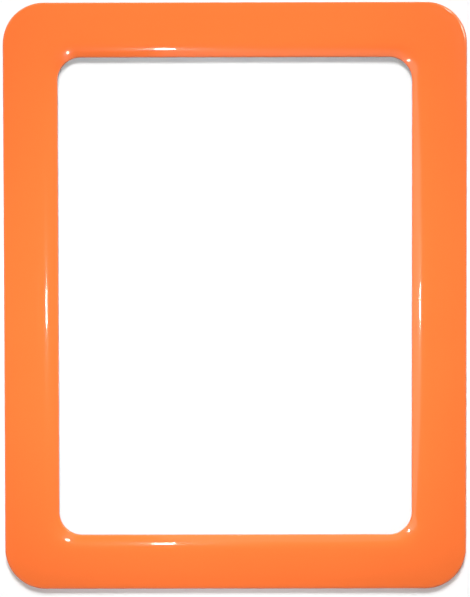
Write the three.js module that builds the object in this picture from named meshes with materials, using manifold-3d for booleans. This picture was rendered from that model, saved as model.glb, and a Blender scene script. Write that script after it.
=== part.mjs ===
// Magnetic document pocket for a steel surface, in millimetres.
// The frame is upright: +X to the right, +Z up, and the front faces -Y.
// The origin is the centre of the back, and the steel surface is the plane y = 0.
// Heights below are measured forward from that plane, so a height h lies at y = -h.

import * as THREE from 'three';
import { mergeVertices } from 'three/addons/utils/BufferGeometryUtils.js';
import Module from 'manifold-3d';

const wasm = await Module();
wasm.setup();

// Document that the pocket takes
const documentWidth = 210;
const documentHeight = 297;
const documentPlay = 0.5;

// Front frame as it is seen
const borderWidth = 29.5;
const outerCornerRadius = 22;
const openingCornerRadius = 12.4;
const crestRise = 2;
const crestFromOpening = 7.8;
const openingRollRadius = 17;
const outerFilletRadius = 1.5;
const openingFilletRadius = 0.8;

// Moulding behind the front
const wallThickness = 1.6;
const rimClearance = 0.3;
const lipWidth = 2.5;
const fenceThickness = 1.2;
const fenceRecess = 0.6;
const endHollow = 2.8;
const ribThickness = 1.2;
const ribPitch = 28;
const ribSetback = 0.15;
const ribBite = 0.5;
const slotSideRoom = 1;

// Sheets of the pocket and the tape that holds them apart
const backSheetThickness = 0.4;
const spacerThickness = 1.2;
const spacerWidth = 3.6;
const windowFilmThickness = 0.3;
const bondLine = 0.05;
const sheetClearance = 0.3;
const sheetTopRecess = 2.5;
const sheetCornerRadius = 3;

// Magnet strips
const magnetWidth = 12.2;
const magnetThickness = 2;
const magnetClearance = 0.3;
const magnetEndSetback = 2.5;
const magnetCornerRadius = 0.8;

// Fineness of the facets
const profileDivisions = 3;
const cornerSegments = 10;
const sheetCornerSegments = 4;

// Places across the width, from the middle outwards
const pocketHalfWidth = documentWidth / 2 + documentPlay;
const sheetHalfWidth = pocketHalfWidth + spacerWidth;
const fenceInnerX = sheetHalfWidth + sheetClearance;
const fenceOuterX = fenceInnerX + fenceThickness;
const magnetInnerX = fenceOuterX + magnetClearance;
const magnetOuterX = magnetInnerX + magnetWidth;
const frameHalfWidth = magnetOuterX + magnetClearance + wallThickness;
const openingHalfWidth = frameHalfWidth - borderWidth;

// Places up and down, from the middle outwards
const pocketHalfHeight = documentHeight / 2 + documentPlay;
const sheetBottomZ = -(pocketHalfHeight + spacerWidth);
const fenceInnerZ = sheetBottomZ - sheetClearance;
const fenceOuterZ = fenceInnerZ - fenceThickness;
const frameHalfHeight = -fenceOuterZ + endHollow + wallThickness;
const openingHalfHeight = frameHalfHeight - borderWidth;
const sheetTopZ = frameHalfHeight - sheetTopRecess;
const magnetHalfLength = frameHalfHeight - outerCornerRadius - magnetEndSetback;

// Heights above the steel
const spacerBack = backSheetThickness + bondLine;
const spacerFront = spacerBack + spacerThickness;
const filmBack = spacerFront + bondLine;
const filmFront = filmBack + windowFilmThickness;
const lipBack = filmFront + bondLine;
const magnetSeat = magnetThickness + bondLine;
const edgeHeight = magnetThickness + wallThickness;
const crestHeight = edgeHeight + crestRise;

// Arcs of the front: a long rise from the outer edge to the crest, then a tight roll into the opening
const crestInset = borderWidth - crestFromOpening;
const riseRadius = (crestInset ** 2 + crestRise ** 2) / (2 * crestRise);
const riseCentreHeight = crestHeight - riseRadius;
const rollCentreHeight = crestHeight - openingRollRadius;

const materials = {
  frame: glossyOrange(),
  film: clearFilm(),
  sheet: clearSheet(),
  magnet: magnetRubber(),
  tape: whiteTape(),
};

function glossyOrange() {
  const colour = new THREE.Color(0xfe813d);
  return new THREE.MeshStandardMaterial({ color: colour, roughness: 0.16, metalness: 0 });
}

function clearFilm() {
  const look = { color: 0xffffff, roughness: 0.05, metalness: 0, transparent: true, opacity: 0.15 };
  return new THREE.MeshStandardMaterial(look);
}

function clearSheet() {
  const look = { color: 0xf6f8f8, roughness: 0.1, metalness: 0, transparent: true, opacity: 0.25 };
  return new THREE.MeshStandardMaterial(look);
}

function magnetRubber() {
  return new THREE.MeshStandardMaterial({ color: 0x2b2a29, roughness: 0.75, metalness: 0 });
}

function whiteTape() {
  return new THREE.MeshStandardMaterial({ color: 0xf2f2ee, roughness: 0.8, metalness: 0 });
}

// A closed geometry as a solid that can be joined and cut.
function toSolid(geometry) {
  const bare = geometry.clone();
  bare.deleteAttribute('normal');
  bare.deleteAttribute('uv');
  const merged = mergeVertices(bare);
  const vertProperties = new Float32Array(merged.attributes.position.array);
  const triVerts = new Uint32Array(merged.index.array);
  return new wasm.Manifold(new wasm.Mesh({ numProp: 3, vertProperties, triVerts }));
}

function toGeometry(solid) {
  const result = solid.getMesh();
  const geometry = new THREE.BufferGeometry();
  geometry.setAttribute('position', new THREE.BufferAttribute(result.vertProperties, 3));
  geometry.setIndex(new THREE.BufferAttribute(result.triVerts, 1));
  geometry.computeVertexNormals();
  return geometry;
}

function named(name, geometry, material) {
  const mesh = new THREE.Mesh(geometry, material);
  mesh.name = name;
  return mesh;
}

// A block between two corners, given as x, height above the steel and z.
function block([lowX, lowHeight, lowZ], [highX, highHeight, highZ]) {
  const geometry = new THREE.BoxGeometry(highX - lowX, highHeight - lowHeight, highZ - lowZ);
  return geometry.translate((lowX + highX) / 2, -(lowHeight + highHeight) / 2, (lowZ + highZ) / 2);
}

// A flat rectangle with round corners in the plane of the pocket, from one height to another.
function sheet([lowX, lowZ], [highX, highZ], radius, lowHeight, highHeight) {
  const outline = new THREE.Shape();
  outline.absarc(highX - radius, highZ - radius, radius, 0, Math.PI / 2);
  outline.absarc(lowX + radius, highZ - radius, radius, Math.PI / 2, Math.PI);
  outline.absarc(lowX + radius, lowZ + radius, radius, Math.PI, 1.5 * Math.PI);
  outline.absarc(highX - radius, lowZ + radius, radius, 1.5 * Math.PI, 2 * Math.PI);
  const options = { depth: highHeight - lowHeight, bevelEnabled: false, curveSegments: sheetCornerSegments };
  return new THREE.ExtrudeGeometry(outline, options).rotateX(Math.PI / 2).translate(0, -lowHeight, 0);
}

// Corner radius of the ring that runs a given distance in from the outer edge.
function cornerRadius(inset) {
  return THREE.MathUtils.lerp(outerCornerRadius, openingCornerRadius, inset / borderWidth);
}

// One ring of the frame: a rounded rectangle, anticlockwise as seen from the front.
function ringPoints(inset, height) {
  const radius = cornerRadius(inset);
  const centreX = frameHalfWidth - inset - radius;
  const centreZ = frameHalfHeight - inset - radius;
  const points = [];
  for (let corner = 0; corner < 4; corner += 1) {
    const sideX = corner === 0 || corner === 3 ? 1 : -1;
    const sideZ = corner < 2 ? 1 : -1;
    for (let step = 0; step <= cornerSegments; step += 1) {
      const angle = (corner + step / cornerSegments) * (Math.PI / 2);
      const x = sideX * centreX + radius * Math.cos(angle);
      const z = sideZ * centreZ + radius * Math.sin(angle);
      points.push(new THREE.Vector3(x, -height, z));
    }
  }
  return points;
}

// A closed profile of (inset, height) points, taken clockwise, lofted once round the frame.
function ringLoft(profile) {
  const rings = profile.map(({ x, y }) => ringPoints(x, y));
  const around = rings[0].length;
  const triangles = [];
  rings.forEach((_, ring) => {
    const here = ring * around;
    const next = ((ring + 1) % rings.length) * around;
    for (let station = 0; station < around; station += 1) {
      const following = (station + 1) % around;
      triangles.push(here + station, next + following, next + station);
      triangles.push(here + station, here + following, next + following);
    }
  });
  const geometry = new THREE.BufferGeometry().setFromPoints(rings.flat());
  return geometry.setIndex(triangles);
}

// Adds the underside of the moulding, a given wall behind the front, from the inner end to the outer one.
function addUnderside(path, wall, innerInset) {
  const rollRadius = openingRollRadius - wall;
  const longRadius = riseRadius - wall;
  const rollStart = Math.acos((innerInset - crestInset) / rollRadius);
  const riseEnd = Math.acos((wall - crestInset) / longRadius);
  path.absarc(crestInset, rollCentreHeight, rollRadius, rollStart, Math.PI / 2);
  path.absarc(crestInset, riseCentreHeight, longRadius, Math.PI / 2, riseEnd);
}

// Section of the frame: outer wall, crowned front, rolled edge of the opening, flat lip and hollow.
function frameProfile() {
  const outerReach = crestInset - outerFilletRadius;
  const outerFilletHeight = riseCentreHeight + Math.sqrt((riseRadius - outerFilletRadius) ** 2 - outerReach ** 2);
  const outerFilletEnd = Math.atan2(outerFilletHeight - riseCentreHeight, -outerReach);
  const innerReach = crestFromOpening - openingFilletRadius;
  const innerRadius = openingRollRadius - openingFilletRadius;
  const innerFilletHeight = rollCentreHeight + Math.sqrt(innerRadius ** 2 - innerReach ** 2);
  const innerFilletStart = Math.atan2(innerFilletHeight - rollCentreHeight, innerReach);
  const innerFilletInset = borderWidth - openingFilletRadius;
  const path = new THREE.Path();
  path.moveTo(0, rimClearance);
  path.absarc(outerFilletRadius, outerFilletHeight, outerFilletRadius, Math.PI, outerFilletEnd, true);
  path.absarc(crestInset, riseCentreHeight, riseRadius, outerFilletEnd, Math.PI / 2, true);
  path.absarc(crestInset, rollCentreHeight, openingRollRadius, Math.PI / 2, innerFilletStart, true);
  path.absarc(innerFilletInset, innerFilletHeight, openingFilletRadius, innerFilletStart, 0, true);
  path.lineTo(borderWidth, lipBack);
  path.lineTo(borderWidth - lipWidth, lipBack);
  addUnderside(path, wallThickness, borderWidth - lipWidth);
  path.lineTo(wallThickness, rimClearance);
  return distinctPoints(path);
}

// Section of the space that ribs may fill: the hollow with a bite into the walls round it.
function ribSpaceProfile() {
  const wall = wallThickness - ribBite;
  const innerInset = borderWidth - lipWidth + ribBite;
  const path = new THREE.Path();
  path.moveTo(innerInset, 0);
  addUnderside(path, wall, innerInset);
  path.lineTo(wall, 0);
  return distinctPoints(path).reverse();
}

// The points of a path, without the doubled ones where two stretches meet.
function distinctPoints(path) {
  const smallestStep = 0.01;
  const points = path.getPoints(profileDivisions);
  return points.filter((point, index) => {
    const before = points[(index + points.length - 1) % points.length];
    return point.distanceTo(before) > smallestStep;
  });
}

// Walls that fence in the sheets at both sides and at the bottom, and part them from the magnets.
function fences() {
  const upright = [-1, 1].map((side) => {
    const edges = [side * fenceInnerX, side * fenceOuterX];
    return block(
      [Math.min(...edges), fenceRecess, fenceOuterZ],
      [Math.max(...edges), crestHeight, frameHalfHeight],
    );
  });
  const bottom = block([-fenceOuterX, fenceRecess, fenceOuterZ], [fenceOuterX, crestHeight, fenceInnerZ]);
  return [...upright, bottom];
}

// Places along a border at the rib pitch, either side of the middle.
function ribPlaces(halfLength) {
  const count = Math.floor(halfLength / ribPitch);
  return Array.from({ length: 2 * count + 1 }, (_, index) => (index - count) * ribPitch);
}

// Ribs across the side borders: over the magnet, and from the fence to the opening's lip.
function sideRibs() {
  const ribs = [];
  for (const z of ribPlaces(openingHalfHeight - openingCornerRadius)) {
    for (const side of [-1, 1]) {
      const channel = [side * (fenceOuterX - ribBite), side * frameHalfWidth];
      const shelf = [side * openingHalfWidth, side * (fenceInnerX + ribBite)];
      for (const [edges, foot] of [[channel, magnetSeat], [shelf, lipBack + ribSetback]]) {
        const low = [Math.min(...edges), foot, z - ribThickness / 2];
        const high = [Math.max(...edges), crestHeight, z + ribThickness / 2];
        ribs.push(block(low, high));
      }
    }
  }
  return ribs;
}

// Ribs across the top and bottom borders, clear of the sheets below them.
function endRibs() {
  const foot = lipBack + ribSetback;
  const ribs = [];
  for (const x of ribPlaces(openingHalfWidth - openingCornerRadius)) {
    for (const [lowZ, highZ] of [[openingHalfHeight, frameHalfHeight], [-frameHalfHeight, -openingHalfHeight]]) {
      ribs.push(block([x - ribThickness / 2, foot, lowZ], [x + ribThickness / 2, crestHeight, highZ]));
    }
  }
  return ribs;
}

// Opening in the top wall through which the document slides in.
function documentSlot() {
  const halfWidth = pocketHalfWidth + slotSideRoom;
  const innerZ = frameHalfHeight - 2 * wallThickness;
  return block([-halfWidth, -1, innerZ], [halfWidth, lipBack, frameHalfHeight + 1]);
}

// One moulding: crowned shell, fences and ribs in its hollow back, and the slot through its top wall.
function frontFrame() {
  const shell = toSolid(ringLoft(frameProfile()));
  const ribSpace = toSolid(ringLoft(ribSpaceProfile()));
  let solid = shell;
  for (const wall of [...fences(), ...sideRibs(), ...endRibs()]) {
    solid = solid.add(toSolid(wall).intersect(ribSpace));
  }
  solid = solid.subtract(toSolid(documentSlot()));
  return named('front_frame', toGeometry(solid), materials.frame);
}

function windowFilm() {
  const low = [-sheetHalfWidth, sheetBottomZ];
  const high = [sheetHalfWidth, sheetTopZ];
  return named('window_film', sheet(low, high, sheetCornerRadius, filmBack, filmFront), materials.film);
}

function backSheet() {
  const low = [-sheetHalfWidth, sheetBottomZ];
  const high = [sheetHalfWidth, sheetTopZ];
  return named('back_sheet', sheet(low, high, sheetCornerRadius, 0, backSheetThickness), materials.sheet);
}

// Tape between the two sheets, which leaves the pocket open at the top.
function sideSpacer(name, side) {
  const edges = [side * pocketHalfWidth, side * sheetHalfWidth];
  const low = [Math.min(...edges), spacerBack, -pocketHalfHeight + sheetClearance];
  const high = [Math.max(...edges), spacerFront, sheetTopZ - sheetCornerRadius];
  return named(name, block(low, high), materials.tape);
}

function bottomSpacer() {
  const halfWidth = sheetHalfWidth - sheetCornerRadius;
  const low = [-halfWidth, spacerBack, sheetBottomZ];
  const high = [halfWidth, spacerFront, -pocketHalfHeight];
  return named('spacer_bottom', block(low, high), materials.tape);
}

// Flexible magnet strip, bonded to the ribs of its channel and flush with the back sheet.
function magnetStrip(name, side) {
  const edges = [side * magnetInnerX, side * magnetOuterX];
  const low = [Math.min(...edges), -magnetHalfLength];
  const high = [Math.max(...edges), magnetHalfLength];
  return named(name, sheet(low, high, magnetCornerRadius, 0, magnetThickness), materials.magnet);
}

const pocket = new THREE.Group();
pocket.name = 'magnetic_document_pocket';
pocket.add(frontFrame());
pocket.add(windowFilm());
pocket.add(backSheet());
pocket.add(sideSpacer('spacer_left', -1));
pocket.add(sideSpacer('spacer_right', 1));
pocket.add(bottomSpacer());
pocket.add(magnetStrip('magnet_left', -1));
pocket.add(magnetStrip('magnet_right', 1));

export default pocket;
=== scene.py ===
"""Looks of a magnetic document pocket that hangs on a white wall.

Metres, +Z up, the front faces -Y and the wall is the plane y = 0.
Heights are measured forward from the wall, so a height h lies at y = -h.
"""

import math

import bpy
import numpy as np
from mathutils import Matrix, Vector


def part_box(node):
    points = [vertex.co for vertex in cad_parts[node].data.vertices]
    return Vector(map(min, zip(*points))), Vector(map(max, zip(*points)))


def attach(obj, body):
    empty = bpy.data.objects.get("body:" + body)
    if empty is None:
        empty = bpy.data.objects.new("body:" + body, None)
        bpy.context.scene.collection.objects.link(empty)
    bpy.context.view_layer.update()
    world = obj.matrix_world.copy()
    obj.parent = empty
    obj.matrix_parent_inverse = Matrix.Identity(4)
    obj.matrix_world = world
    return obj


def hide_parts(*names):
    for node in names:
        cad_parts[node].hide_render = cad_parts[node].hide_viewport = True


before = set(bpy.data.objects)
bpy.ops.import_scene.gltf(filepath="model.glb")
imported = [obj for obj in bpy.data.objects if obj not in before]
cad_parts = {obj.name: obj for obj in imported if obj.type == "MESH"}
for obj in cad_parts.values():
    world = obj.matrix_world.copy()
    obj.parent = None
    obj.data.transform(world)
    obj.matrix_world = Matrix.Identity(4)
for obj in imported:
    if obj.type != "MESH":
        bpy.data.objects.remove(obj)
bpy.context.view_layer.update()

MM = 0.001
WHITE = (1, 1, 1, 1)

# Section of the moulding
WALL = 1.6 * MM
CREST_RISE = 2.0 * MM
CREST_FROM_OPENING = 7.8 * MM
OPENING_ROLL_RADIUS = 17.0 * MM
OUTER_FILLET_RADIUS = 1.5 * MM
OPENING_FILLET_RADIUS = 0.8 * MM
OUTER_CORNER_RADIUS = 22.0 * MM
OPENING_CORNER_RADIUS = 12.4 * MM
BORDER = 29.5 * MM
LIP = 2.5 * MM
EDGE_BREAK = 0.15 * MM
BOND = 0.05 * MM

# Ribs and fences behind the front
FENCE = 1.2 * MM
FENCE_RECESS = 0.6 * MM
FENCE_GAP = 0.3 * MM
RIB = 1.2 * MM
RIB_PITCH = 28.0 * MM
RIB_SETBACK = 0.15 * MM
RIB_BITE = 0.5 * MM
SLOT_SIDE_ROOM = 1.0 * MM

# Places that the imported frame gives
low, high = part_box("front_frame")
HALF_WIDTH, HALF_HEIGHT = high[0], high[2]
CREST, RIM = -low[1], -high[1]
film_low, film_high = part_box("window_film")
LIP_BACK = -film_low[1] + BOND
MAGNET_SEAT = -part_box("magnet_left")[0][1] + BOND
FENCE_X = film_high[0] + FENCE_GAP
FENCE_Z = film_low[2] - FENCE_GAP
POCKET_HALF_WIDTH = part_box("spacer_right")[0][0]
OPENING_HALF_WIDTH = HALF_WIDTH - BORDER
OPENING_HALF_HEIGHT = HALF_HEIGHT - BORDER

# Arcs of the section
CREST_INSET = BORDER - CREST_FROM_OPENING
RISE_RADIUS = (CREST_INSET**2 + CREST_RISE**2) / (2 * CREST_RISE)
RISE_CENTRE = CREST - RISE_RADIUS
ROLL_CENTRE = CREST - OPENING_ROLL_RADIUS

# Fineness of the moulding's surface
CORNER_STEPS = 30
STRAIGHT_STEPS = 12
ARC_STEPS = 24
FILLET_STEPS = 10
FENCE_STEPS = 60
PLATE_STEPS = 24
HALVINGS = 30
SLOT_STEP = 1e-4
SMOOTH_ANGLE = math.radians(38)


def arc(centre, radius, start, end, steps):
    """Points of (inset, height) at even angles on a circle, from start to end in radians."""
    angle = np.linspace(start, end, steps + 1)
    return np.column_stack([centre[0] + radius * np.cos(angle), centre[1] + radius * np.sin(angle)])


def front_section():
    """The seen side of the section: fillet off the outer wall, long rise to the crest, tight roll into
    the opening and its small fillet. Each fillet's centre is one radius in from the wall and from the arc."""
    outer_reach = CREST_INSET - OUTER_FILLET_RADIUS
    outer_height = RISE_CENTRE + math.sqrt((RISE_RADIUS - OUTER_FILLET_RADIUS) ** 2 - outer_reach**2)
    outer_end = math.atan2(outer_height - RISE_CENTRE, -outer_reach)
    inner_reach = CREST_FROM_OPENING - OPENING_FILLET_RADIUS
    inner_radius = OPENING_ROLL_RADIUS - OPENING_FILLET_RADIUS
    inner_height = ROLL_CENTRE + math.sqrt(inner_radius**2 - inner_reach**2)
    inner_start = math.atan2(inner_height - ROLL_CENTRE, inner_reach)
    outer_fillet = (OUTER_FILLET_RADIUS, outer_height)
    inner_fillet = (BORDER - OPENING_FILLET_RADIUS, inner_height)
    return np.vstack([
        arc(outer_fillet, OUTER_FILLET_RADIUS, math.pi, outer_end, FILLET_STEPS),
        arc((CREST_INSET, RISE_CENTRE), RISE_RADIUS, outer_end, math.pi / 2, ARC_STEPS)[1:],
        arc((CREST_INSET, ROLL_CENTRE), OPENING_ROLL_RADIUS, math.pi / 2, inner_start, ARC_STEPS)[1:],
        arc(inner_fillet, OPENING_FILLET_RADIUS, inner_start, 0, FILLET_STEPS)[1:],
    ])


def underside_section():
    """The hidden side of the section, from lip to outer wall: the same two arcs, one wall further in."""
    roll_start = math.acos((BORDER - LIP - CREST_INSET) / (OPENING_ROLL_RADIUS - WALL))
    rise_end = math.acos((WALL - CREST_INSET) / (RISE_RADIUS - WALL))
    return np.vstack([
        arc((CREST_INSET, ROLL_CENTRE), OPENING_ROLL_RADIUS - WALL, roll_start, math.pi / 2, FILLET_STEPS),
        arc((CREST_INSET, RISE_CENTRE), RISE_RADIUS - WALL, math.pi / 2, rise_end, ARC_STEPS)[1:],
    ])


def section():
    """The whole section as (inset, height), clockwise, and for each point how far it follows the foot
    of the outer wall: 1 at the foot, 0 elsewhere."""
    foot_out = [(EDGE_BREAK, 0), (0, EDGE_BREAK)]
    lip = [
        (BORDER, LIP_BACK + EDGE_BREAK),
        (BORDER - EDGE_BREAK, LIP_BACK),
        (BORDER - LIP + EDGE_BREAK, LIP_BACK),
        (BORDER - LIP, LIP_BACK + EDGE_BREAK),
    ]
    foot_in = [(WALL, EDGE_BREAK), (WALL - EDGE_BREAK, 0)]
    front, under = front_section(), underside_section()
    points = np.vstack([foot_out, front, lip, under, foot_in])
    follows = np.zeros(len(points))
    follows[:2] = follows[-2:] = 1
    return points, follows


def corner_radius(inset):
    """Corner radius of a ring, falling evenly from the outer edge to the opening."""
    return OUTER_CORNER_RADIUS + (OPENING_CORNER_RADIUS - OUTER_CORNER_RADIUS) * inset / BORDER


def stations():
    """Places round the ring, anticlockwise seen from the front: the corner's number and the angle in it.
    A station on a straight side shares its two corners: the share of the way to the next one is last. At
    each end of the document slot in the top, two stations stand close together. Also tells which
    stations lie in the slot."""
    slot_edge = POCKET_HALF_WIDTH + SLOT_SIDE_ROOM - (HALF_WIDTH - OUTER_CORNER_RADIUS)
    slot_angle = math.acos(slot_edge / OUTER_CORNER_RADIUS)
    rows = []
    for corner in range(4):
        angles = np.linspace(0, math.pi / 2, CORNER_STEPS + 1)
        if corner == 0:
            angles = np.sort(np.append(angles, [slot_angle - SLOT_STEP, slot_angle + SLOT_STEP]))
        if corner == 1:
            mirrored = math.pi / 2 - slot_angle
            angles = np.sort(np.append(angles, [mirrored - SLOT_STEP, mirrored + SLOT_STEP]))
        rows.append(np.column_stack([np.full_like(angles, corner), angles, np.zeros_like(angles)]))
        share = np.linspace(0, 1, STRAIGHT_STEPS + 1)[1:-1]
        end = np.full_like(share, math.pi / 2)
        rows.append(np.column_stack([np.full_like(share, corner), end, share]))
    rows = np.vstack(rows)
    on_top = ((rows[:, 0] == 0) & (rows[:, 1] >= slot_angle)) | (
        (rows[:, 0] == 1) & (rows[:, 1] <= math.pi / 2 - slot_angle)
    )
    return rows, on_top


def ring_places(inset, rows):
    """x and z of every station on every ring: corner centre plus radius at the angle, and on a straight
    side a blend of this corner's end and the next corner's start."""
    side_x = np.array([1, -1, -1, 1])
    side_z = np.array([1, 1, -1, -1])
    corner = rows[:, 0].astype(int)
    following = (corner + 1) % 4
    radius = corner_radius(inset)[:, None]
    centre_x = HALF_WIDTH - inset[:, None] - radius
    centre_z = HALF_HEIGHT - inset[:, None] - radius
    turn = corner * math.pi / 2 + rows[:, 1]
    x = side_x[corner] * centre_x + radius * np.cos(turn)
    z = side_z[corner] * centre_z + radius * np.sin(turn)
    next_turn = (corner + 1) * math.pi / 2
    next_x = side_x[following] * centre_x + radius * np.cos(next_turn)
    next_z = side_z[following] * centre_z + radius * np.sin(next_turn)
    share = rows[:, 2]
    return x * (1 - share) + next_x * share, z * (1 - share) + next_z * share


def ring_faces(rings, around):
    """Quads of a grid that closes on itself both ways, numbered from 0."""
    ring, station = np.meshgrid(np.arange(rings), np.arange(around), indexing="ij")
    next_ring, next_station = (ring + 1) % rings, (station + 1) % around
    corners = [
        ring * around + station,
        ring * around + next_station,
        next_ring * around + next_station,
        next_ring * around + station,
    ]
    return np.stack(corners, axis=-1).reshape(-1, 4)


def shell_surface():
    """The shell: the section carried round the frame. The outer wall's foot stands at the rim, and at the
    document slot in the top it stands as high as the back of the lip."""
    points, follows = section()
    rows, on_top = stations()
    x, z = ring_places(points[:, 0], rows)
    foot = np.where(on_top, LIP_BACK, RIM)
    height = points[:, 1][:, None] + follows[:, None] * foot[None, :]
    vertices = np.stack([x, -height, z], axis=-1).reshape(-1, 3)
    return vertices, ring_faces(len(points), len(rows))


def inset_at(x, z):
    """Inset of the ring that passes through a place, found by halving: a ring lies outside the place as
    long as the place's distance to that rounded rectangle is negative."""
    near, far = np.zeros_like(x), np.full_like(x, BORDER)
    for _ in range(HALVINGS):
        middle = (near + far) / 2
        radius = corner_radius(middle)
        over_x = np.abs(x) - (HALF_WIDTH - middle - radius)
        over_z = np.abs(z) - (HALF_HEIGHT - middle - radius)
        outside = np.hypot(np.maximum(over_x, 0), np.maximum(over_z, 0))
        distance = outside + np.minimum(np.maximum(over_x, over_z), 0) - radius
        near = np.where(distance < 0, middle, near)
        far = np.where(distance < 0, far, middle)
    return near


def ceiling(inset):
    """Height of the underside over an inset: the rise's arc up to the crest and the roll's arc beyond."""
    inside = np.clip(inset, WALL, BORDER - LIP)
    reach = inside - CREST_INSET
    rise = RISE_CENTRE + np.sqrt((RISE_RADIUS - WALL) ** 2 - np.minimum(reach, 0) ** 2)
    roll = ROLL_CENTRE + np.sqrt((OPENING_ROLL_RADIUS - WALL) ** 2 - np.maximum(reach, 0) ** 2)
    return np.where(reach < 0, rise, roll)


def plate(start, end, thickness, foot, steps=PLATE_STEPS):
    """A thin wall from one place to another: its foot is level, and its top follows the underside of the
    shell, a small bite into it. Four corners a step, and a cap at each end."""
    share = np.linspace(0, 1, steps + 1)[:, None]
    middle = np.array(start) * (1 - share) + np.array(end) * share
    along = np.array(end) - np.array(start)
    across = np.array([-along[1], along[0]]) / np.hypot(*along) * thickness / 2
    one, other = middle + across, middle - across
    top_one = ceiling(inset_at(one[:, 0], one[:, 1])) + RIB_BITE
    top_other = ceiling(inset_at(other[:, 0], other[:, 1])) + RIB_BITE
    level = np.full(len(middle), foot)
    corners = [
        np.column_stack([one[:, 0], -level, one[:, 1]]),
        np.column_stack([other[:, 0], -level, other[:, 1]]),
        np.column_stack([other[:, 0], -top_other, other[:, 1]]),
        np.column_stack([one[:, 0], -top_one, one[:, 1]]),
    ]
    vertices = np.stack(corners, axis=1).reshape(-1, 3)
    first = np.arange(steps)[:, None] * 4
    side = np.arange(4)[None, :]
    around = (side + 1) % 4
    quads = np.stack([first + side, first + 4 + side, first + 4 + around, first + around], axis=-1)
    caps = np.array([[0, 1, 2, 3], [4 * steps + 3, 4 * steps + 2, 4 * steps + 1, 4 * steps]])
    return vertices, np.vstack([quads.reshape(-1, 4), caps])


def places(half_length):
    """Rib places at the pitch, either side of the middle."""
    count = int(half_length / RIB_PITCH)
    return [index * RIB_PITCH for index in range(-count, count + 1)]


def plates():
    """Fences round the sheets, ribs over the magnets and ribs from the fences to the lip. The side fences
    end in the middle of the outer wall, where its corner is already round."""
    outer_fence = FENCE_X + FENCE
    wall_x, wall_z = HALF_WIDTH - WALL / 2, HALF_HEIGHT - WALL / 2
    lip_x, lip_z = HALF_WIDTH - BORDER + LIP / 2, HALF_HEIGHT - BORDER + LIP / 2
    shelf = LIP_BACK + RIB_SETBACK
    bottom = FENCE_Z - FENCE / 2
    round_reach = outer_fence - (HALF_WIDTH - OUTER_CORNER_RADIUS)
    mid_wall_radius = OUTER_CORNER_RADIUS - WALL / 2
    fence_top = HALF_HEIGHT - OUTER_CORNER_RADIUS + math.sqrt(mid_wall_radius**2 - round_reach**2)
    walls = [plate((-outer_fence, bottom), (outer_fence, bottom), FENCE, FENCE_RECESS)]
    for side in (-1, 1):
        fence = side * (FENCE_X + FENCE / 2)
        walls.append(plate((fence, FENCE_Z - FENCE), (fence, fence_top), FENCE, FENCE_RECESS, FENCE_STEPS))
        for z in places(OPENING_HALF_HEIGHT - OPENING_CORNER_RADIUS):
            walls.append(plate((fence, z), (side * wall_x, z), RIB, MAGNET_SEAT))
            walls.append(plate((side * lip_x, z), (fence, z), RIB, shelf))
        for x in places(OPENING_HALF_WIDTH - OPENING_CORNER_RADIUS):
            walls.append(plate((x, side * lip_z), (x, side * wall_z), RIB, shelf))
    return walls


def joined(parts):
    """Several surfaces as one: vertices one after another, and faces numbered on."""
    starts = np.cumsum([0] + [len(vertices) for vertices, _ in parts[:-1]])
    vertices = np.vstack([vertices for vertices, _ in parts])
    faces = np.vstack([faces + start for (_, faces), start in zip(parts, starts)])
    return vertices, faces


def new_piece(name, surface, material):
    """A mesh object at the origin from a numpy surface, smooth except at its real edges."""
    vertices, faces = surface
    mesh = bpy.data.meshes.new(name)
    mesh.from_pydata(vertices.tolist(), [], faces.tolist())
    mesh.materials.append(material)
    mesh.shade_smooth()
    mesh.set_sharp_from_angle(angle=SMOOTH_ANGLE)
    piece = bpy.data.objects.new(name, mesh)
    bpy.context.collection.objects.link(piece)
    return piece


class Nodes:
    """A material's or world's node tree, with short ways to add and join nodes."""

    def __init__(self, owner):
        owner.use_nodes = True
        self.tree = owner.node_tree
        self.tree.nodes.clear()

    def add(self, kind, settings=None, **sockets):
        """A node of a kind, with its settings, and its sockets set to values or joined to other sockets."""
        node = self.tree.nodes.new("ShaderNode" + kind)
        for key, value in (settings or {}).items():
            setattr(node, key, value)
        for key, value in sockets.items():
            self.set(node.inputs[key.replace("_", " ")], value)
        return node

    def set(self, socket, value):
        """A socket's value, or a link to it."""
        if isinstance(value, bpy.types.NodeSocket):
            self.tree.links.new(value, socket)
        else:
            socket.default_value = value

    def math(self, operation, *values):
        """One arithmetic step on numbers or sockets."""
        node = self.add("Math", {"operation": operation})
        for socket, value in zip(node.inputs, values):
            self.set(socket, value)
        return node.outputs[0]

    def fade(self, value, start, end, low=0.0, high=1.0):
        """A value taken smoothly from one range to another."""
        node = self.add("MapRange", {"interpolation_type": "SMOOTHSTEP"}, Value=value)
        for key, number in zip(("From Min", "From Max", "To Min", "To Max"), (start, end, low, high)):
            self.set(node.inputs[key], number)
        return node.outputs[0]

    def mix(self, share, one, other):
        """A blend of two colours."""
        node = self.add("Mix", {"data_type": "RGBA"})
        self.set(node.inputs[0], share)
        self.set(node.inputs[6], one)
        self.set(node.inputs[7], other)
        return node.outputs[2]

    def noise(self, scale, detail):
        """Noise on the object's own coordinates, at a scale per metre."""
        place = self.add("TexCoord").outputs["Object"]
        return self.add("TexNoise", Vector=place, Scale=scale, Detail=detail).outputs[0]

    def patches(self, scale, detail, low=0.0, high=1.0):
        """A number that drifts between two values in patches."""
        return self.fade(self.noise(scale, detail), 0.3, 0.7, low, high)

    def bump(self, height, depth):
        """A bump of a real depth in metres."""
        return self.add("Bump", Height=height, Distance=depth, Strength=1.0).outputs[0]

    def mix_shaders(self, share, one, other):
        """A blend of two shaders."""
        node = self.add("MixShader", Fac=share)
        self.set(node.inputs[1], one)
        self.set(node.inputs[2], other)
        return node.outputs[0]

    def finish(self, shader, kind="OutputMaterial"):
        """The tree's output."""
        self.add(kind, Surface=shader)


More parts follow.
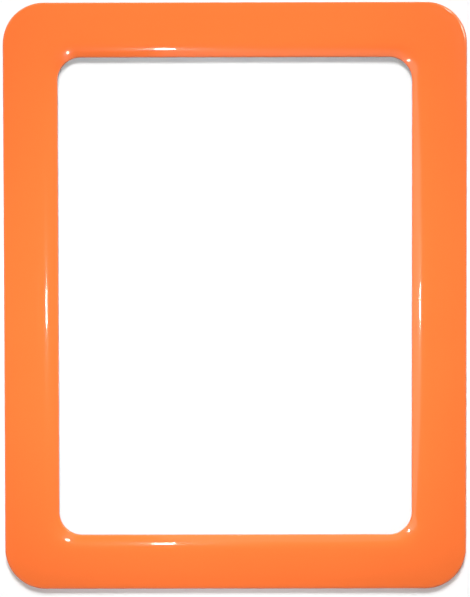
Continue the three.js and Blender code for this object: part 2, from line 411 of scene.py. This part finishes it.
def new_material(name):
    """An empty material and its nodes."""
    material = bpy.data.materials.new(name)
    return material, Nodes(material)


# Orange plastic: colours, polish and haze, with noise scales per metre
ORANGE_DEEP, ORANGE_LIGHT = (0.98, 0.181, 0.034, 1), (0.99, 0.187, 0.036, 1)
ORANGE_POLISH = (0.045, 0.07)
DRIFT_SCALE, POLISH_SCALE, PEEL_SCALE = 9.0, 60.0, 320.0
PEEL_DEPTH = 0.0015 * MM
HAZE_SHARE = 0.22
HAZE_ROUGHNESS = 0.24

PLASTIC_IOR = 1.5

# Clear plastic: tint, haze of its mirror image and depth of its ripple
CLEAR_FILM = ((0.998, 0.998, 0.998, 1), 0.30, 0.4 * MM)
CLEAR_SHEET = ((0.995, 0.998, 0.998, 1), 0.12, 0.3 * MM)
RIPPLE_SCALE = 14.0

# Magnet rubber
RUBBER_DARK, RUBBER_LIGHT = (0.020, 0.019, 0.018, 1), (0.034, 0.032, 0.030, 1)
RUBBER_DULLNESS = (0.55, 0.75)
MOTTLE_SCALE, DULLNESS_SCALE, GRAIN_SCALE = 180.0, 500.0, 2500.0
GRAIN_DEPTH = 0.02 * MM

# Foam tape
FOAM_SHADE, FOAM_WHITE = (0.80, 0.80, 0.77, 1), (0.90, 0.90, 0.87, 1)
FOAM_DULLNESS = 0.8
CELL_SCALE = 1800.0
PORE_DEPTH = 0.05 * MM


def glossy_orange():
    """Moulded orange plastic: a faint drift of colour, polish that varies a little, a trace of orange peel
    and a weak haze round its highlights."""
    material, nodes = new_material("glossy_orange_plastic")
    colour = nodes.mix(nodes.patches(DRIFT_SCALE, 3.0), ORANGE_DEEP, ORANGE_LIGHT)
    polish = nodes.patches(POLISH_SCALE, 4.0, *ORANGE_POLISH)
    peel = nodes.bump(nodes.noise(PEEL_SCALE, 2.0), PEEL_DEPTH)
    plastic = nodes.add(
        "BsdfPrincipled",
        Base_Color=colour,
        Roughness=polish,
        Normal=peel,
        IOR=PLASTIC_IOR,
        Coat_Weight=HAZE_SHARE,
        Coat_Roughness=HAZE_ROUGHNESS,
    )
    nodes.finish(plastic.outputs[0])
    return material


def clear_plastic(name, tint, haze, ripple):
    """Thin clear plastic: light passes with a tint, and its rippled outer face mirrors by its angle."""
    material, nodes = new_material(name)
    wave = nodes.bump(nodes.noise(RIPPLE_SCALE, 1.0), ripple)
    through = nodes.add("BsdfTransparent", Color=tint)
    mirror = nodes.add("BsdfGlossy", Roughness=haze, Normal=wave)
    shine = nodes.add("Fresnel", IOR=PLASTIC_IOR).outputs[0]
    inner_face = nodes.add("NewGeometry").outputs["Backfacing"]
    outer_face = nodes.math("SUBTRACT", 1.0, inner_face)
    share = nodes.math("MULTIPLY", shine, outer_face)
    nodes.finish(nodes.mix_shaders(share, through.outputs[0], mirror.outputs[0]))
    return material


def magnet_rubber():
    """Dark flexible magnet strip: fine grain, soft mottling and a dull skin."""
    material, nodes = new_material("magnet_rubber")
    colour = nodes.mix(nodes.patches(MOTTLE_SCALE, 5.0), RUBBER_DARK, RUBBER_LIGHT)
    dullness = nodes.patches(DULLNESS_SCALE, 3.0, *RUBBER_DULLNESS)
    grain = nodes.bump(nodes.noise(GRAIN_SCALE, 3.0), GRAIN_DEPTH)
    rubber = nodes.add("BsdfPrincipled", Base_Color=colour, Roughness=dullness, Normal=grain)
    nodes.finish(rubber.outputs[0])
    return material


def foam_tape():
    """White foam tape: fine cells in its edge and a matt, slightly uneven white."""
    material, nodes = new_material("foam_tape")
    cells = nodes.noise(CELL_SCALE, 2.0)
    colour = nodes.mix(nodes.fade(cells, 0.35, 0.65), FOAM_SHADE, FOAM_WHITE)
    pores = nodes.bump(cells, PORE_DEPTH)
    tape = nodes.add("BsdfPrincipled", Base_Color=colour, Roughness=FOAM_DULLNESS, Normal=pores)
    nodes.finish(tape.outputs[0])
    return material


# Stage: matt colours, lifts towards white where it is seen, and sizes in metres
WALL_COLOUR, FLOOR_COLOUR = (0.87, 0.87, 0.87, 1), (0.86, 0.86, 0.85, 1)
WALL_LIFT, FLOOR_LIFT = 0.085, 0.0
STAGE_GLANCE = 0.35
WALL_BEHIND = 0.05 * MM
STAGE_REACH = 3.0
FLOOR_DROP = 0.30


def pale_stage(name, colour, lift, one_sided):
    """A matt pale surface, lifted a little towards white where it is seen or mirrored, and more for a view
    along it. The light on other things doesn't change. A one-sided surface lets views from behind pass."""
    material, nodes = new_material(name)
    paint = nodes.add("BsdfDiffuse", Color=colour)
    rays = nodes.add("LightPath").outputs
    mirrored = nodes.math("MAXIMUM", rays["Is Glossy Ray"], rays["Is Transmission Ray"])
    seen = nodes.math("MAXIMUM", rays["Is Camera Ray"], mirrored)
    glance = nodes.math("MULTIPLY", nodes.add("LayerWeight", Blend=0.5).outputs["Facing"], STAGE_GLANCE)
    glance = nodes.math("MULTIPLY", glance, rays["Is Camera Ray"])
    strength = nodes.math("ADD", nodes.math("MULTIPLY", seen, lift), glance)
    glow = nodes.add("Emission", Color=WHITE, Strength=strength)
    both = nodes.add("AddShader")
    nodes.set(both.inputs[0], paint.outputs[0])
    nodes.set(both.inputs[1], glow.outputs[0])
    surface = both.outputs[0]
    if one_sided:
        behind = nodes.add("NewGeometry").outputs["Backfacing"]
        through = nodes.add("BsdfTransparent").outputs[0]
        surface = nodes.mix_shaders(behind, surface, through)
    nodes.finish(surface)
    return material


def stage_plane(name, corners, material):
    """A flat rectangle that belongs to the stage."""
    mesh = bpy.data.meshes.new(name)
    mesh.from_pydata(corners, [], [(0, 1, 2, 3)])
    mesh.materials.append(material)
    plane = bpy.data.objects.new(name, mesh)
    bpy.context.collection.objects.link(plane)
    return plane


def build_stage():
    """A white wall that the pocket hangs on, and a pale floor below it. Neither takes part in the light on
    the pocket, and the gloss mirrors the wall alone."""
    y = WALL_BEHIND
    low = -HALF_HEIGHT - FLOOR_DROP
    reach = STAGE_REACH
    wall = stage_plane(
        "wall",
        [(-reach, y, low), (reach, y, low), (reach, y, reach), (-reach, y, reach)],
        pale_stage("white_wall", WALL_COLOUR, WALL_LIFT, one_sided=True),
    )
    wall.visible_shadow = False
    wall.visible_diffuse = False
    floor = stage_plane(
        "floor",
        [(-reach, -reach, low), (reach, -reach, low), (reach, reach, low), (-reach, reach, low)],
        pale_stage("pale_floor", FLOOR_COLOUR, FLOOR_LIFT, one_sided=False),
    )
    floor.visible_diffuse = False
    floor.visible_glossy = False


# Camera, fitted to the frame's eight edges in the photograph
CAMERA_DISTANCE = 0.6035
CAMERA_X = 0.96 * MM
CAMERA_Z = 9.09 * MM
CAMERA_YAW = math.radians(0.099)
CAMERA_PITCH = math.radians(-0.957)
CAMERA_ROLL = math.radians(-0.100)
CAMERA_LENS = 67.05
SENSOR_LONG_SIDE = 36.0
CLIP_NEAR, CLIP_FAR = 0.01, 50.0


def build_camera():
    """The photograph's camera, almost square on."""
    data = bpy.data.cameras.new("camera")
    data.sensor_width = SENSOR_LONG_SIDE
    data.lens = CAMERA_LENS
    data.clip_start, data.clip_end = CLIP_NEAR, CLIP_FAR
    camera = bpy.data.objects.new("camera", data)
    upright = Matrix.Rotation(math.pi / 2, 4, "X")
    turn = Matrix.Rotation(CAMERA_YAW, 4, "Y") @ Matrix.Rotation(CAMERA_PITCH, 4, "X")
    turn = turn @ Matrix.Rotation(CAMERA_ROLL, 4, "Z")
    place = Matrix.Translation((CAMERA_X, -CAMERA_DISTANCE, CAMERA_Z))
    camera.matrix_world = place @ upright @ turn
    bpy.context.collection.objects.link(camera)
    bpy.context.scene.camera = camera


# Lights: place, aim and size in metres
KEY_PLACE = (0.0, -0.676, 0.626)
KEY_SIZE = 0.36
KEY_AIM = (0.0, 0.0, -1.2)
KEY_POWER = 12.0
FRONT_PLACE = (-0.10, -0.62, -0.01)
FRONT_AIM = (-0.002, 0.0, -0.012)
FRONT_CONE = math.radians(40.5)
FRONT_RADIUS = 0.05
FRONT_POWER = 6.9
FLASH_PLACE = (-0.0766, -0.6035, -0.0206)
FLASH_AIM = (-0.0766, 0.0, -0.0206)
FLASH_WIDTH, FLASH_HEIGHT = 0.017, 0.042
FLASH_POWER = 0.5

# Reflector cards: name, side of the axis, shift along x, width, near and far end, and brightness
CARD_OFFSET = 0.025
CARD_LEAN = 0.15
CARDS = [
    ("card_left", (-1, 0), 0.0, 0.36, 0.17, 1.0, 1.3),
    ("card_left_far", (-1, 0), 0.0, 0.36, 1.0, 3.0, 0.6),
    ("card_above", (0, 1), 0.06, 0.26, 0.20, 1.2, 0.7),
    ("card_below", (0, -1), 0.06, 0.26, 0.20, 1.2, 0.8),
]

# Bright windows: name, way from the upper right corner, size and brightness
CORNER_GLINTS = [
    ("window_right", (0.59, -0.74, 0.33), (0.08, 0.19), 60.0),
    ("window_above", (0.42, -0.705, 0.57), (0.10, 0.08), 60.0),
]


def new_light(name, kind, power, place, aim, mirrored=False):
    """A light that shines from a place at an aim. The camera doesn't see it, and gloss only if mirrored."""
    data = bpy.data.lights.new(name, kind)
    data.energy = power
    data.cycles.use_multiple_importance_sampling = mirrored
    light = bpy.data.objects.new(name, data)
    light.location = place
    away = Vector(place) - Vector(aim)
    light.rotation_euler = away.to_track_quat("Z", "Y").to_euler()
    light.visible_camera = False
    light.visible_glossy = mirrored
    bpy.context.collection.objects.link(light)
    return light


def gloss_light(name, power, place, aim):
    """A rectangular light that only gloss sees."""
    light = new_light(name, "AREA", power, place, aim, mirrored=True)
    light.visible_diffuse = False
    light.visible_transmission = False
    light.data.shape = "RECTANGLE"
    return light


def even_reach(data):
    """Makes a light as strong far off as near, so that its nearness changes only its angle."""
    nodes = Nodes(data)
    steady = nodes.add("LightFalloff", Strength=1.0).outputs["Constant"]
    nodes.finish(nodes.add("Emission", Strength=steady).outputs[0], "OutputLight")


def build_cards():
    """White cards that only the gloss sees. Each stands on edge in front of the window, leans outwards and
    faces the roll on the far side of the opening, so no other part of the frame mirrors it."""
    for name, (side_x, side_z), shift, width, near, far, brightness in CARDS:
        middle = (near + far) / 2
        reach = CARD_OFFSET + CARD_LEAN * middle
        place = Vector((side_x * reach + shift, -middle, side_z * reach))
        facing = Vector((-side_x, -CARD_LEAN, -side_z))
        length = (far - near) * math.hypot(1, CARD_LEAN)
        power = brightness * math.pi * width * length
        card = gloss_light(name, power, place, place + facing)
        lengthwise = abs((card.rotation_euler.to_matrix() @ Vector((1, 0, 0))).y) > 0.5
        card.data.size, card.data.size_y = (length, width) if lengthwise else (width, length)


def build_corner_glints():
    """Two bright windows of the room that only the upper right outer corner mirrors."""
    corner = Vector((HALF_WIDTH, 0, HALF_HEIGHT))
    for name, direction, size, brightness in CORNER_GLINTS:
        power = brightness * math.pi * size[0] * size[1]
        window = gloss_light(name, power, corner + Vector(direction), corner)
        window.data.size, window.data.size_y = size


def build_lights():
    """A round soft light above, which drops the shadow, a soft beam from the front that fades towards the
    corners, and a small flash left of the camera, which makes the bright lines on the crests."""
    key = new_light("key_light", "AREA", KEY_POWER, KEY_PLACE, KEY_AIM).data
    key.shape = "DISK"
    key.size = KEY_SIZE
    even_reach(key)
    front = new_light("front_light", "SPOT", FRONT_POWER, FRONT_PLACE, FRONT_AIM).data
    front.spot_size, front.spot_blend = FRONT_CONE, 1.0
    front.shadow_soft_size = FRONT_RADIUS
    flash = new_light("flash", "AREA", FLASH_POWER, FLASH_PLACE, FLASH_AIM, mirrored=True)
    flash.data.shape = "ELLIPSE"
    flash.data.size, flash.data.size_y = FLASH_WIDTH, FLASH_HEIGHT
    build_cards()
    build_corner_glints()


# Room: brightness by the way a ray goes, from -1 in front to 1 behind, and the share that matt faces get
ROOM_FRONT = 0.18
ROOM_SIDES = 0.7
ROOM_BEHIND = 1.0
FRONT_TO_SIDES = (-0.85, -0.45)
SIDES_TO_BEHIND = (-0.05, 0.15)
ROOM_DULL_SHARE = 0.3


def build_world():
    """A pale room: dim in front, brighter far out to the sides, above and below, and even behind the wall.
    The camera, and what is seen through clear plastic, get plain white."""
    world = bpy.data.worlds.new("room")
    bpy.context.scene.world = world
    nodes = Nodes(world)
    towards = nodes.add("TexCoord").outputs["Generated"]
    y = nodes.add("SeparateXYZ", Vector=towards).outputs["Y"]
    front = nodes.fade(y, *FRONT_TO_SIDES, ROOM_FRONT, ROOM_SIDES)
    behind = nodes.fade(y, *SIDES_TO_BEHIND)
    rays = nodes.add("LightPath").outputs
    seen = nodes.math("MAXIMUM", rays["Is Camera Ray"], rays["Is Transmission Ray"])
    mirrored = nodes.fade(rays["Is Glossy Ray"], 0.0, 1.0, ROOM_DULL_SHARE, 1.0)
    dimmed = nodes.math("MULTIPLY", front, mirrored)
    in_front = nodes.math("MULTIPLY", dimmed, nodes.math("SUBTRACT", 1.0, behind))
    level = nodes.math("ADD", in_front, nodes.math("MULTIPLY", behind, ROOM_BEHIND))
    light = nodes.add("Background", Color=WHITE, Strength=level)
    white = nodes.add("Background", Color=WHITE, Strength=1.0)
    nodes.finish(nodes.mix_shaders(seen, light.outputs[0], white.outputs[0]), "OutputWorld")


def dress_frame():
    """The moulding as one fine surface in place of its CAD solid."""
    surface = joined([shell_surface(), *plates()])
    moulding = new_piece("frame_moulding", surface, glossy_orange())
    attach(moulding, "root")
    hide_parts("front_frame")


def dress_nodes():
    """Finishes of the CAD solids that stay."""
    finishes = {
        "window_film": clear_plastic("clear_film", *CLEAR_FILM),
        "back_sheet": clear_plastic("clear_sheet", *CLEAR_SHEET),
    }
    tape, rubber = foam_tape(), magnet_rubber()
    finishes.update({name: tape for name in ("spacer_left", "spacer_right", "spacer_bottom")})
    finishes.update({name: rubber for name in ("magnet_left", "magnet_right")})
    for name, material in finishes.items():
        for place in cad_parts[name].material_slots:
            place.material = material


dress_frame()
dress_nodes()
build_stage()
build_camera()
build_lights()
build_world()
bpy.context.scene.view_settings.view_transform = "Standard"
